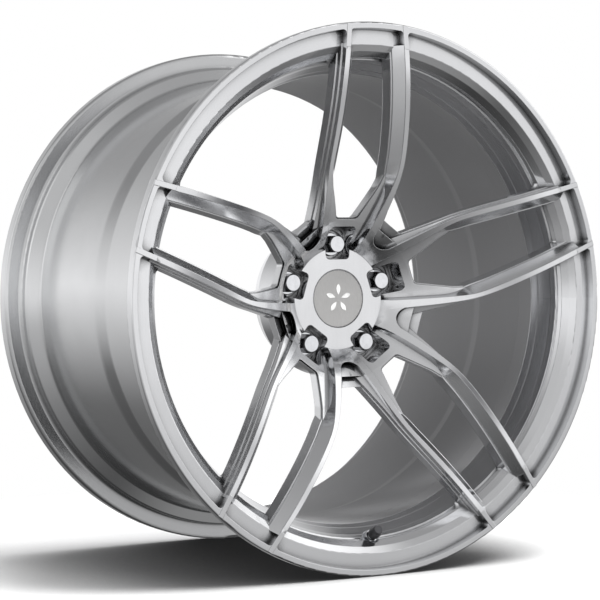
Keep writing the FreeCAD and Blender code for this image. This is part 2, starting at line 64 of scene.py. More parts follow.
MOUNTS = {mount["name"]: mount for mount in frame["record"]["mounts"]}
JOINTS = {joint["name"]: joint for joint in frame["joints"]}
BOLT_COUNT = MOUNTS["wheel_bolts"]["dims"]["count"]
SHANK_RADIUS = MOUNTS["wheel_bolts"]["dims"]["stud_r_mm"] * MM
FLOOR_Z = CAD_BOX[0][2]

# Studio walls: (sine of elevation, brightness), from straight down to straight up.
REAR_WALL = ((-1.0, 0.04), (-0.6, 0.10), (-0.4, 0.16), (-0.15, 0.6), (0.05, 0.95), (0.3, 0.65),
             (0.45, 0.4), (0.6, 0.28), (0.8, 0.28), (1.0, 0.3))
FRONT_WALL = ((-1.0, 0.04), (-0.8, 0.08), (-0.5, 0.24), (-0.3, 0.42), (-0.12, 0.55), (-0.02, 0.95),
              (0.08, 0.9), (0.3, 0.6), (0.7, 0.55), (1.0, 0.3))
# Soft glows, and dark flags below zero: direction, full up to and gone beyond (degrees), strength.
GLOWS = (
    ((0.80, -0.38, 0.45), 12.0, 32.0, 0.7),
    ((-0.85, 0.10, 0.50), 8.0, 30.0, 0.4),
    ((0.45, -0.55, -0.70), 6.0, 34.0, 0.22),
    ((0.81, -0.59, 0.0), 3.0, 19.0, -0.5),
    ((0.07, -0.98, 0.17), 7.0, 19.0, -0.42),
)

# Buffed metal: shares of the finish that haze, strokes, rings and the bore add or take, and the reach and
# brightness of the painted shade in recesses.
CLOUD_SHADE = 0.95
RECESS_SHADE_REACH, PAINTED_RECESS_SHADE = 0.014, 0.10
BORE_PLAINNESS = 0.7
CLOUD_GLOSS, STROKE_GLOSS, RING_GLOSS, BORE_GLOSS = 0.035, 0.02, 0.02, 0.3

# Thread wedge in shares of (height, pitch), and the badge's leaf in shares of its reach.
THREAD_WEDGE = ((-0.1, -0.46), (1.0, -0.08), (1.0, 0.08), (-0.1, 0.46))
LEAF_HEEL, LEAF_HALF_WIDTH, LEAF_ROUNDNESS, LEAF_STEPS = 0.26, 0.20, 0.8, 14

# Floor: reach and strength of the contact shade, and where it fades to white.
CONTACT_REACH, CONTACT_STRENGTH = 0.3, 1.6
FADE_START, FADE_END = 0.30, 0.68

bl_info = {
    "name": "Forged wheel finish",
    "version": (1, 0, 0),
    "blender": (4, 5, 0),
    "location": "3D View > Sidebar > Wheel",
    "description": "Finishes, details and studio for a forged racing wheel",
    "category": "Object",
}


# ---------------------------------------------------------------- settings


class WheelFinish(bpy.types.PropertyGroup):
    """Colours and surface qualities of the metal; the bore colour is painted shade."""

    centre_colour: FloatVectorProperty(
        name="Centre", description="Polished metal of the spokes and front ring",
        subtype="COLOR", size=4, default=(0.86, 0.865, 0.875, 1.0))
    barrel_colour: FloatVectorProperty(
        name="Barrel", description="Satin metal outside the barrel",
        subtype="COLOR", size=4, default=(0.80, 0.805, 0.81, 1.0))
    # Painted shade: the darker bore colour stands in for the shade and dark self-reflection inside the barrel.
    bore_shade_colour: FloatVectorProperty(
        name="Barrel bore", description="Darker metal inside the barrel",
        subtype="COLOR", size=4, default=(0.24, 0.24, 0.245, 1.0))
    bolt_colour: FloatVectorProperty(
        name="Bolts", description="Chrome of the bolts",
        subtype="COLOR", size=4, default=(0.86, 0.87, 0.89, 1.0))
    badge_colour: FloatVectorProperty(
        name="Badge", description="Plate in the centre cap",
        subtype="COLOR", size=4, default=(0.40, 0.395, 0.39, 1.0))


class WheelDetail(bpy.types.PropertyGroup):
    """Sizes of the small details that the bolts, badge and valve carry."""

    thread_pitch: FloatProperty(
        name="Thread pitch", description="Distance between two turns on a bolt",
        subtype="DISTANCE", default=1.5 * MM)
    thread_length: FloatProperty(
        name="Thread length", description="Threaded stretch at the tip of a bolt",
        subtype="DISTANCE", default=11.0 * MM)
    thread_height: FloatProperty(
        name="Thread height", description="How far a thread stands out of the shank",
        subtype="DISTANCE", default=0.45 * MM)
    petal_count: IntProperty(
        name="Badge petals", description="Petals in the badge's motif", default=5)
    petal_reach: FloatProperty(
        name="Petal reach", description="Distance from the badge's middle to a petal's tip",
        subtype="DISTANCE", default=15.0 * MM)
    rib_count: IntProperty(
        name="Valve cap ribs", description="Grip ribs around the valve cap", default=24)


class WheelStage(bpy.types.PropertyGroup):
    """Camera, floor and lights."""

    camera_place: FloatVectorProperty(
        name="Camera", description="Place of the camera", subtype="TRANSLATION",
        default=(-1.0051, -1.6661, 0.0216))
    camera_aim: FloatVectorProperty(
        name="Aim", description="Direction the camera looks in", subtype="DIRECTION",
        default=(0.5096, 0.8603, -0.0121))
    lens: FloatProperty(
        name="Lens", description="Focal length on a 36 mm sensor, in millimetres", default=111.4)
    floor_size: FloatProperty(
        name="Floor", description="Side of the floor", subtype="DISTANCE", default=14.0)


# ---------------------------------------------------------------- node helpers


def add_node(tree, kind, label="", **values):
    """New node, with its plain properties set by name."""
    node = tree.nodes.new(kind)
    if label:
        node.label = label
    for name, value in values.items():
        setattr(node, name, value)
    return node


def set_inputs(node, **values):
    """Sets sockets by name, with underscores for spaces."""
    for name, value in values.items():
        node.inputs[name.replace("_", " ")].default_value = value


def new_group(name, kind, inputs, outputs):
    """Node group with named sockets; inputs and outputs are (name, socket type, default)."""
    tree = bpy.data.node_groups.new(name, kind)
    for title, socket, default in inputs:
        made = tree.interface.new_socket(title, in_out="INPUT", socket_type=socket)
        if default is not None:
            made.default_value = default
    for title, socket in outputs:
        tree.interface.new_socket(title, in_out="OUTPUT", socket_type=socket)
    start = tree.nodes.new("NodeGroupInput")
    end = tree.nodes.new("NodeGroupOutput")
    return tree, start, end


def math_node(tree, operation, first, second=None, clamp=False):
    """Math node fed by sockets or numbers; returns its output."""
    node = add_node(tree, "ShaderNodeMath", operation=operation, use_clamp=clamp)
    for socket, value in zip(node.inputs, (first, second)):
        if isinstance(value, bpy.types.NodeSocket):
            tree.links.new(value, socket)
        elif value is not None:
            socket.default_value = value
    return node.outputs[0]


def remap(tree, value, low, high, to_low=0.0, to_high=1.0):
    """Smooth step of a value between two limits; returns its output."""
    node = add_node(tree, "ShaderNodeMapRange", interpolation_type="SMOOTHSTEP")
    tree.links.new(value, node.inputs["Value"])
    node.inputs["From Min"].default_value = low
    node.inputs["From Max"].default_value = high
    node.inputs["To Min"].default_value = to_low
    node.inputs["To Max"].default_value = to_high
    return node.outputs["Result"]


def axis_parts(tree, coordinates):
    """Distance from the wheel axis and place along it, from Object coordinates."""
    split = add_node(tree, "ShaderNodeSeparateXYZ")
    tree.links.new(coordinates, split.inputs[0])
    squares = [math_node(tree, "POWER", split.outputs[name], 2.0) for name in ("X", "Z")]
    radius = math_node(tree, "SQRT", math_node(tree, "ADD", *squares))
    return radius, split.outputs["Y"]


# ---------------------------------------------------------------- shader groups


def turning_marks():
    """Fine rings left by the lathe, about the wheel axis."""
    tree, start, end = new_group(
        "turning_marks", "ShaderNodeTree",
        [("Rings per mm", "NodeSocketFloat", 2.0), ("Wander", "NodeSocketFloat", 0.3)],
        [("Height", "NodeSocketFloat"), ("Mask", "NodeSocketFloat")])
    place = add_node(tree, "ShaderNodeTexCoord")
    radius, along = axis_parts(tree, place.outputs["Object"])
    path = math_node(tree, "MULTIPLY", math_node(tree, "ADD", radius, along), 1 / MM)
    path = math_node(tree, "MULTIPLY", path, start.outputs["Rings per mm"])
    drift = add_node(tree, "ShaderNodeTexNoise", "slow wander")
    set_inputs(drift, Scale=9.0, Detail=2.0)
    tree.links.new(place.outputs["Object"], drift.inputs["Vector"])
    path = math_node(tree, "ADD", path,
                     math_node(tree, "MULTIPLY", drift.outputs["Fac"], start.outputs["Wander"]))
    rings = add_node(tree, "ShaderNodeTexNoise", "rings", noise_dimensions="1D")
    set_inputs(rings, Scale=1.0, Detail=3.0, Roughness=0.6)
    tree.links.new(path, rings.inputs["W"])
    tree.links.new(rings.outputs["Fac"], end.inputs["Height"])
    tree.links.new(remap(tree, rings.outputs["Fac"], 0.35, 0.65), end.inputs["Mask"])
    return tree


def polish_haze():
    """Cloudy patches and short wipe marks that a buffing wheel leaves."""
    tree, start, end = new_group(
        "polish_haze", "ShaderNodeTree",
        [("Cloud size", "NodeSocketFloat", 14.0), ("Scratch size", "NodeSocketFloat", 600.0)],
        [("Cloud", "NodeSocketFloat"), ("Scratch", "NodeSocketFloat")])
    place = add_node(tree, "ShaderNodeTexCoord")
    cloud = add_node(tree, "ShaderNodeTexNoise", "cloud")
    set_inputs(cloud, Detail=4.0, Roughness=0.55)
    tree.links.new(place.outputs["Object"], cloud.inputs["Vector"])
    tree.links.new(start.outputs["Cloud size"], cloud.inputs["Scale"])
    stretch = add_node(tree, "ShaderNodeMapping", "long strokes")
    stretch.inputs["Scale"].default_value = (1.0, 1.0, 0.06)
    stretch.inputs["Rotation"].default_value = (0.2, 0.5, 0.0)
    tree.links.new(place.outputs["Object"], stretch.inputs["Vector"])
    scratch = add_node(tree, "ShaderNodeTexNoise", "strokes")
    set_inputs(scratch, Detail=2.0, Roughness=0.5)
    tree.links.new(stretch.outputs["Vector"], scratch.inputs["Vector"])
    tree.links.new(start.outputs["Scratch size"], scratch.inputs["Scale"])
    tree.links.new(remap(tree, cloud.outputs["Fac"], 0.3, 0.7), end.inputs["Cloud"])
    tree.links.new(remap(tree, scratch.outputs["Fac"], 0.42, 0.62), end.inputs["Scratch"])
    return tree


def soft_edges():
    """Normals that round every sharp edge a little, and a mask of the worn edges."""
    tree, start, end = new_group(
        "soft_edges", "ShaderNodeTree",
        [("Radius", "NodeSocketFloat", 0.0006)],
        [("Normal", "NodeSocketVector"), ("Edge", "NodeSocketFloat")])
    bevel = add_node(tree, "ShaderNodeBevel", samples=6)
    tree.links.new(start.outputs["Radius"], bevel.inputs["Radius"])
    shape = add_node(tree, "ShaderNodeNewGeometry")
    match = add_node(tree, "ShaderNodeVectorMath", operation="DOT_PRODUCT")
    tree.links.new(bevel.outputs["Normal"], match.inputs[0])
    tree.links.new(shape.outputs["Normal"], match.inputs[1])
    tree.links.new(bevel.outputs["Normal"], end.inputs["Normal"])
    tree.links.new(remap(tree, match.outputs["Value"], 0.80, 0.99, 1.0, 0.0), end.inputs["Edge"])
    return tree


def painted_recess_shade():
    """Painted shade: white in the part's own narrow recesses, where light doesn't reach."""
    tree, start, end = new_group(
        "painted_recess_shade", "ShaderNodeTree",
        [("Reach", "NodeSocketFloat", 0.012)], [("Mask", "NodeSocketFloat")])
    nook = add_node(tree, "ShaderNodeAmbientOcclusion", "recess_shade", only_local=True, samples=8)
    tree.links.new(start.outputs["Reach"], nook.inputs["Distance"])
    tree.links.new(remap(tree, nook.outputs["AO"], 0.30, 0.85, 1.0, 0.0), end.inputs["Mask"])
    return tree


def side_shade_mask():
    """White on surfaces that don't look along the wheel axis, which painted shade darkens."""
    tree, start, end = new_group(
        "side_shade_mask", "ShaderNodeTree",
        [("Flat above", "NodeSocketFloat", 0.9)], [("Mask", "NodeSocketFloat")])
    shape = add_node(tree, "ShaderNodeNewGeometry")
    split = add_node(tree, "ShaderNodeSeparateXYZ")
    tree.links.new(shape.outputs["Normal"], split.inputs[0])
    along = math_node(tree, "ABSOLUTE", split.outputs["Y"])
    tree.links.new(math_node(tree, "LESS_THAN", along, start.outputs["Flat above"]),
                   end.inputs["Mask"])
    return tree


def bore_mask():
    """White on surfaces that look at the wheel axis from inside the barrel."""
    tree, start, end = new_group(
        "bore_mask", "ShaderNodeTree",
        [("Starts at", "NodeSocketFloat", 0.0), ("Ends at", "NodeSocketFloat", 1.0)],
        [("Mask", "NodeSocketFloat")])
    place = add_node(tree, "ShaderNodeTexCoord")
    shape = add_node(tree, "ShaderNodeNewGeometry")
    flat = add_node(tree, "ShaderNodeVectorMath", operation="MULTIPLY")
    flat.inputs[1].default_value = (1.0, 0.0, 1.0)
    tree.links.new(place.outputs["Object"], flat.inputs[0])
    outward = add_node(tree, "ShaderNodeVectorMath", operation="NORMALIZE")
    tree.links.new(flat.outputs[0], outward.inputs[0])
    facing = add_node(tree, "ShaderNodeVectorMath", operation="DOT_PRODUCT")
    tree.links.new(outward.outputs[0], facing.inputs[0])
    tree.links.new(shape.outputs["Normal"], facing.inputs[1])
    inward = remap(tree, facing.outputs["Value"], -0.5, -0.3, 1.0, 0.0)
    radius, along = axis_parts(tree, place.outputs["Object"])
    behind = math_node(tree, "GREATER_THAN", along, start.outputs["Starts at"])
    before = math_node(tree, "LESS_THAN", along, start.outputs["Ends at"])
    wide = math_node(tree, "GREATER_THAN", radius, 0.2)
    mask = math_node(tree, "MULTIPLY", inward, math_node(tree, "MULTIPLY", behind, before))
    tree.links.new(math_node(tree, "MULTIPLY", mask, wide), end.inputs["Mask"])
    return tree


def effect(tree, name, **values):
    """Places a shared shader group in a material with its own values."""
    node = add_node(tree, "ShaderNodeGroup", node_tree=EFFECTS[name])
    set_inputs(node, **values)
    return node


def build_effects():
    """Every shared shader group, by name."""
    groups = (turning_marks, polish_haze, soft_edges, painted_recess_shade, side_shade_mask, bore_mask)
    return {make.__name__: make() for make in groups}


EFFECTS = build_effects()


# ---------------------------------------------------------------- materials


def bare_material(name):
    """Material with one Principled shader; returns (material, tree, shader)."""
    material = bpy.data.materials.new(name)
    material.use_nodes = True
    tree = material.node_tree
    shader = next(node for node in tree.nodes if node.type == "BSDF_PRINCIPLED")
    return material, tree, shader


def mixed(tree, mask, first, second):
    """Colour that goes from first to second as the mask goes from 0 to 1."""
    node = add_node(tree, "ShaderNodeMix", data_type="RGBA")
    tree.links.new(mask, node.inputs["Factor"])
    for socket, value in ((node.inputs[6], first), (node.inputs[7], second)):
        if isinstance(value, bpy.types.NodeSocket):
            tree.links.new(value, socket)
        else:
            socket.default_value = value
    return node.outputs[2]


def darker(colour, share):
    """The same colour with only that share of its brightness."""
    return (colour[0] * share, colour[1] * share, colour[2] * share, 1.0)


def polished_metal(name, colour, bore_shade_colour, roughness, marks, edge, bore_span):
    """Buffed aluminium: haze, lathe rings, softened edges, painted shade in recesses, and a duller bore painted
    darker for its shade.
    """
    material, tree, shader = bare_material(name)
    haze = effect(tree, "polish_haze", Cloud_size=11.0, Scratch_size=520.0)
    rings = effect(tree, "turning_marks", Rings_per_mm=marks, Wander=0.4)
    bore = effect(tree, "bore_mask", Starts_at=bore_span[0], Ends_at=bore_span[1])
    edges = effect(tree, "soft_edges", Radius=edge)
    tone = mixed(tree, haze.outputs["Cloud"], tuple(colour), darker(colour, CLOUD_SHADE))
    # Painted shade: the part's own recesses darken to a tenth of the metal's colour.
    recess_shade = effect(tree, "painted_recess_shade", Reach=RECESS_SHADE_REACH)
    tone = mixed(tree, recess_shade.outputs["Mask"], tone, darker(colour, PAINTED_RECESS_SHADE))
    # Painted shade: surfaces inside the barrel take the darker bore colour.
    tone = mixed(tree, bore.outputs["Mask"], tone, tuple(bore_shade_colour))
    tree.links.new(tone, shader.inputs["Base Color"])
    plain = math_node(tree, "MULTIPLY", bore.outputs["Mask"], BORE_PLAINNESS)
    tree.links.new(math_node(tree, "SUBTRACT", 1.0, plain), shader.inputs["Metallic"])
    gloss = math_node(tree, "MULTIPLY", haze.outputs["Cloud"], CLOUD_GLOSS)
    for mask, share in ((haze.outputs["Scratch"], STROKE_GLOSS),
                        (rings.outputs["Mask"], RING_GLOSS), (bore.outputs["Mask"], BORE_GLOSS)):
        gloss = math_node(tree, "ADD", gloss, math_node(tree, "MULTIPLY", mask, share))
    tree.links.new(math_node(tree, "ADD", gloss, roughness, clamp=True), shader.inputs["Roughness"])
    bump = add_node(tree, "ShaderNodeBump")
    set_inputs(bump, Strength=0.05, Distance=0.00008)
    tree.links.new(rings.outputs["Height"], bump.inputs["Height"])
    tree.links.new(edges.outputs["Normal"], bump.inputs["Normal"])
    tree.links.new(bump.outputs["Normal"], shader.inputs["Normal"])
    return material


def plated_metal(name, colour, roughness, side_shade_share=1.0, edge=0.0003):
    """Bright plating on a small part, with wiped haze, soft edges and painted shade on the faces that don't look
    along the wheel axis.
    """
    material, tree, shader = bare_material(name)
    shader.inputs["Metallic"].default_value = 1.0
    haze = effect(tree, "polish_haze", Cloud_size=160.0, Scratch_size=2600.0)
    edges = effect(tree, "soft_edges", Radius=edge)
    tone = mixed(tree, haze.outputs["Cloud"], tuple(colour), darker(colour, 0.9))
    side_shade = effect(tree, "side_shade_mask", Flat_above=0.9)
    # Painted shade: faces that don't look along the wheel axis keep only this share of the colour's brightness.
    tone = mixed(tree, side_shade.outputs["Mask"], tone, darker(colour, side_shade_share))
    tree.links.new(tone, shader.inputs["Base Color"])
    gloss = math_node(tree, "MULTIPLY", haze.outputs["Scratch"], 0.05)
    tree.links.new(math_node(tree, "ADD", gloss, roughness), shader.inputs["Roughness"])
    tree.links.new(edges.outputs["Normal"], shader.inputs["Normal"])
    return material


def moulded(name, colour, roughness, grain):
    """Rubber or plastic with a fine moulded grain."""
    material, tree, shader = bare_material(name)
    haze = effect(tree, "polish_haze", Cloud_size=120.0, Scratch_size=1800.0)
    tone = mixed(tree, haze.outputs["Cloud"], tuple(colour), darker(colour, 0.7))
    tree.links.new(tone, shader.inputs["Base Color"])
    gloss = math_node(tree, "MULTIPLY", haze.outputs["Cloud"], 0.15)
    tree.links.new(math_node(tree, "ADD", gloss, roughness), shader.inputs["Roughness"])
    place = add_node(tree, "ShaderNodeTexCoord")
    texture = add_node(tree, "ShaderNodeTexNoise", "moulded grain")
    set_inputs(texture, Scale=grain, Detail=3.0)
    tree.links.new(place.outputs["Object"], texture.inputs["Vector"])
    bump = add_node(tree, "ShaderNodeBump")
    set_inputs(bump, Strength=0.3, Distance=0.0001)
    tree.links.new(texture.outputs["Fac"], bump.inputs["Height"])
    tree.links.new(bump.outputs["Normal"], shader.inputs["Normal"])
    return material


def satin_plate(name, colour):
    """Bead-blasted and anodised plate, with a fine even sparkle."""
    material, tree, shader = bare_material(name)
    shader.inputs["Metallic"].default_value = 0.35
    haze = effect(tree, "polish_haze", Cloud_size=60.0, Scratch_size=3000.0)
    tone = mixed(tree, haze.outputs["Scratch"], tuple(colour), darker(colour, 0.93))
    tree.links.new(tone, shader.inputs["Base Color"])
    gloss = math_node(tree, "MULTIPLY", haze.outputs["Scratch"], 0.06)
    tree.links.new(math_node(tree, "ADD", gloss, 0.42), shader.inputs["Roughness"])
    place = add_node(tree, "ShaderNodeTexCoord")
    grain = add_node(tree, "ShaderNodeTexNoise", "blasted grain")
    set_inputs(grain, Scale=5200.0, Detail=1.0)
    tree.links.new(place.outputs["Object"], grain.inputs["Vector"])
    bump = add_node(tree, "ShaderNodeBump")
    set_inputs(bump, Strength=0.25, Distance=0.00004)
    tree.links.new(grain.outputs["Fac"], bump.inputs["Height"])
    tree.links.new(bump.outputs["Normal"], shader.inputs["Normal"])
    return material


def paint_node(name, material):
    """Gives a CAD node its finish in every slot it has."""
    slots = frame["nodes"][name].material_slots
    for slot in slots:
        slot.material = material


# ---------------------------------------------------------------- mesh helpers


def settle(piece, body, material):
    """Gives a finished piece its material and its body."""
    piece.data.materials.clear()
    piece.data.materials.append(material)
    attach(piece, body)
    return piece


def empty_piece(name):
    """Object with an empty mesh, for a Geometry Nodes tree to fill."""
    piece = bpy.data.objects.new(name, bpy.data.meshes.new(name))
    bpy.context.scene.collection.objects.link(piece)
    return piece


def run_tree(name, tree, place, values):
    """Runs a Geometry Nodes tree once and returns its result as a plain mesh piece."""
    holder = empty_piece(name + "_tree")
    modifier = holder.modifiers.new("shape", "NODES")
    modifier.node_group = tree
    for item in tree.interface.items_tree:
        if item.item_type == "SOCKET" and item.in_out == "INPUT" and item.name in values:
            modifier[item.identifier] = values[item.name]
    evaluated = holder.evaluated_get(bpy.context.evaluated_depsgraph_get())
    mesh = bpy.data.meshes.new_from_object(evaluated)
    bpy.data.objects.remove(holder)
    mesh.name = name
    mesh.transform(place)
    piece = bpy.data.objects.new(name, mesh)
    bpy.context.scene.collection.objects.link(piece)
    return piece


def closed_section(tree, points):
    """Closed profile curve through (x, y) points, as the output of a curve node chain."""
    line = add_node(tree, "GeometryNodeCurvePrimitiveQuadrilateral", mode="POINTS")
    for index, (x, y) in enumerate(points):
        line.inputs["Point %d" % (index + 1)].default_value = (x, y, 0.0)
    return line.outputs[0]


def thread_tree():
    """Stack of wedge-shaped rings along +Z: the turns of a thread."""
    tree, start, end = new_group(
        "thread_turns", "GeometryNodeTree",
        [("Turns", "NodeSocketInt", 10), ("Pitch", "NodeSocketFloat", 1.5 * MM),
         ("Radius", "NodeSocketFloat", 7 * MM), ("Height", "NodeSocketFloat", 0.45 * MM),
         ("Material", "NodeSocketMaterial", None)],
        [("Geometry", "NodeSocketGeometry")])
    ring = add_node(tree, "GeometryNodeCurvePrimitiveCircle", mode="RADIUS")
    ring.inputs["Resolution"].default_value = 40
    tree.links.new(start.outputs["Radius"], ring.inputs["Radius"])
    wedge = closed_section(tree, THREAD_WEDGE)
    size = add_node(tree, "ShaderNodeCombineXYZ")
    tree.links.new(start.outputs["Height"], size.inputs["X"])
    tree.links.new(start.outputs["Pitch"], size.inputs["Y"])
    size.inputs["Z"].default_value = 1.0
    shaped = add_node(tree, "GeometryNodeTransform")
    tree.links.new(wedge, shaped.inputs["Geometry"])
    tree.links.new(size.outputs[0], shaped.inputs["Scale"])
    swept = add_node(tree, "GeometryNodeCurveToMesh")
    tree.links.new(ring.outputs["Curve"], swept.inputs["Curve"])
    tree.links.new(shaped.outputs["Geometry"], swept.inputs["Profile Curve"])
    step = add_node(tree, "ShaderNodeCombineXYZ")
    tree.links.new(start.outputs["Pitch"], step.inputs["Z"])
    line = add_node(tree, "GeometryNodeMeshLine", mode="OFFSET")
    tree.links.new(start.outputs["Turns"], line.inputs["Count"])
    tree.links.new(step.outputs[0], line.inputs["Offset"])
    finish_tree(tree, start, end, line.outputs["Mesh"], swept.outputs["Mesh"])
    return tree


def finish_tree(tree, start, end, points, shape):
    """Ends a tree: instances the shape on the points, realizes it and sets its material."""
    spread = add_node(tree, "GeometryNodeInstanceOnPoints")
    tree.links.new(points, spread.inputs["Points"])
    tree.links.new(shape, spread.inputs["Instance"])
    real = add_node(tree, "GeometryNodeRealizeInstances")
    tree.links.new(spread.outputs["Instances"], real.inputs["Geometry"])
    paint = add_node(tree, "GeometryNodeSetMaterial")
    tree.links.new(real.outputs["Geometry"], paint.inputs["Geometry"])
    tree.links.new(start.outputs["Material"], paint.inputs["Material"])
    tree.links.new(paint.outputs["Geometry"], end.inputs["Geometry"])
    return spread


def circle_tree():
    """One shape repeated around +Z, each copy turned to face outwards."""
    tree, start, end = new_group(
        "round_pattern", "GeometryNodeTree",
        [("Count", "NodeSocketInt", 5), ("Radius", "NodeSocketFloat", 1.0 * MM),
         ("Shape", "NodeSocketObject", None), ("Material", "NodeSocketMaterial", None)],
        [("Geometry", "NodeSocketGeometry")])
    ring = add_node(tree, "GeometryNodeMeshCircle", fill_type="NONE")
    tree.links.new(start.outputs["Count"], ring.inputs["Vertices"])
    tree.links.new(start.outputs["Radius"], ring.inputs["Radius"])
    shape = add_node(tree, "GeometryNodeObjectInfo", transform_space="ORIGINAL")
    tree.links.new(start.outputs["Shape"], shape.inputs["Object"])
    spread = finish_tree(tree, start, end, ring.outputs["Mesh"], shape.outputs["Geometry"])
    place = add_node(tree, "GeometryNodeInputPosition")
    turn = add_node(tree, "FunctionNodeAlignRotationToVector", axis="X")
    tree.links.new(place.outputs[0], turn.inputs["Vector"])
    tree.links.new(turn.outputs["Rotation"], spread.inputs["Rotation"])
    return tree


def outline_prism(name, outline, low, high, bevel):
    """Closed plate from an outline in X and Y between two heights, with a soft rim."""
    work = bmesh.new()
    floor = [work.verts.new((x, y, low)) for x, y in outline]
    face = work.faces.new(floor)
    raised = bmesh.ops.extrude_face_region(work, geom=[face])
    top = [item for item in raised["geom"] if isinstance(item, bmesh.types.BMVert)]
    bmesh.ops.translate(work, verts=top, vec=(0.0, 0.0, high - low))
    bmesh.ops.recalc_face_normals(work, faces=work.faces)
    rim = [edge for edge in work.edges if all(vert in top for vert in edge.verts)]
    bmesh.ops.bevel(work, geom=rim, offset=bevel, segments=2, affect="EDGES")
    mesh = bpy.data.meshes.new(name)
    work.to_mesh(mesh)
    work.free()
    piece = bpy.data.objects.new(name, mesh)
    bpy.context.scene.collection.objects.link(piece)
    return piece


def axis_matrix(axis, base):
    """Matrix that lays local +Z along an axis through a base point."""
    turn = Vector(axis).to_track_quat("Z", "Y").to_matrix().to_4x4()
    return Matrix.Translation(base) @ turn


def petal_outline(reach):
    """Slender leaf along +X with a round outer end and a pointed heel."""
    points = []
    for side in (1, -1):
        for index in range(LEAF_STEPS):
            share = index / LEAF_STEPS if side > 0 else 1 - index / LEAF_STEPS
            along = LEAF_HEEL + (1 - LEAF_HEEL) * share
            swell = math.sin(math.pi * share) ** LEAF_ROUNDNESS
            half = LEAF_HALF_WIDTH * swell * (0.55 + 0.45 * share)
            points.append((along * reach, side * half * reach))
    return points


# ---------------------------------------------------------------- pieces


class WHEEL_OT_centre(bpy.types.Operator):
    """Buffed finish of the spokes, hub and front ring"""

    bl_idname = "wheel.centre"
    bl_label = "Wheel centre"

    def execute(self, context):
        look = context.scene.wheel_finish
        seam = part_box("barrel")[0].y
        metal = polished_metal("polished_centre", look.centre_colour, look.bore_shade_colour, 0.095,
                               1.2, 0.0007, (seam - 0.009, 0.1))
        paint_node("wheel_centre", metal)
        return {"FINISHED"}


class WHEEL_OT_barrel(bpy.types.Operator):
    """Satin finish of the barrel, and its bore painted darker as shade"""

    bl_idname = "wheel.barrel"
    bl_label = "Barrel"

    def execute(self, context):
        look = context.scene.wheel_finish
        rear = CAD_BOX[1][1]
        metal = polished_metal("satin_barrel", look.barrel_colour, look.bore_shade_colour, 0.13,
                               1.6, 0.0009, (-0.1, rear - 0.014))
        paint_node("barrel", metal)
        return {"FINISHED"}


class WHEEL_OT_bolts(bpy.types.Operator):
    """Chrome on the lug bolts, and the turns of their threads"""

    bl_idname = "wheel.bolts"
    bl_label = "Lug bolts"

    def execute(self, context):
        look = context.scene.wheel_finish
        detail = context.scene.wheel_detail
        # Painted shade: the bolts' side faces keep 0.16 of the chrome's brightness.
        chrome = plated_metal("bolt_chrome", look.bolt_colour, 0.06, 0.16)
        tree = thread_tree()
        turns = int(detail.thread_length / detail.thread_pitch)
        for index in range(BOLT_COUNT):
            node = "lug_bolt_%d" % (index + 1)
            low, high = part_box(node)
            middle = (low + high) / 2
            tip = Vector((middle.x, high.y - 2 * detail.thread_pitch, middle.z))
            piece = run_tree(node + "_thread", tree, axis_matrix((0, -1, 0), tip), {
                "Turns": turns, "Pitch": detail.thread_pitch, "Radius": SHANK_RADIUS,
                "Height": detail.thread_height, "Material": chrome})
            settle(piece, "bolt_%d" % (index + 1), chrome)
            paint_node(node, chrome)
        return {"FINISHED"}


class WHEEL_OT_cap(bpy.types.Operator):
    """Centre cap: shell, plate, spring ring and a plain five-petal motif"""

    bl_idname = "wheel.cap"
    bl_label = "Centre cap"

    def execute(self, context):
        look = context.scene.wheel_finish
        detail = context.scene.wheel_detail
        paint_node("centre_cap_shell", plated_metal("cap_rim", (0.55, 0.55, 0.555, 1.0), 0.22))
        paint_node("centre_cap_badge", satin_plate("badge_plate", look.badge_colour))
        paint_node("cap_retaining_ring", plated_metal("drawn_wire", (0.5, 0.5, 0.52, 1.0), 0.25))
        enamel = moulded("white_enamel", (0.86, 0.86, 0.85, 1.0), 0.25, 900.0)
        leaf = outline_prism("petal", petal_outline(detail.petal_reach), 0.0, 0.35 * MM, 0.12 * MM)
        face = Vector((0.0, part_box("centre_cap_badge")[0].y, 0.0))
        place = axis_matrix((0, -1, 0), face) @ Matrix.Rotation(math.radians(90), 4, "Z")
        motif = run_tree("badge_motif", circle_tree(), place, {
            "Count": detail.petal_count, "Radius": 0.02 * MM, "Shape": leaf, "Material": enamel})
        bpy.data.objects.remove(leaf)
        settle(motif, "centre_cap", enamel)
        return {"FINISHED"}


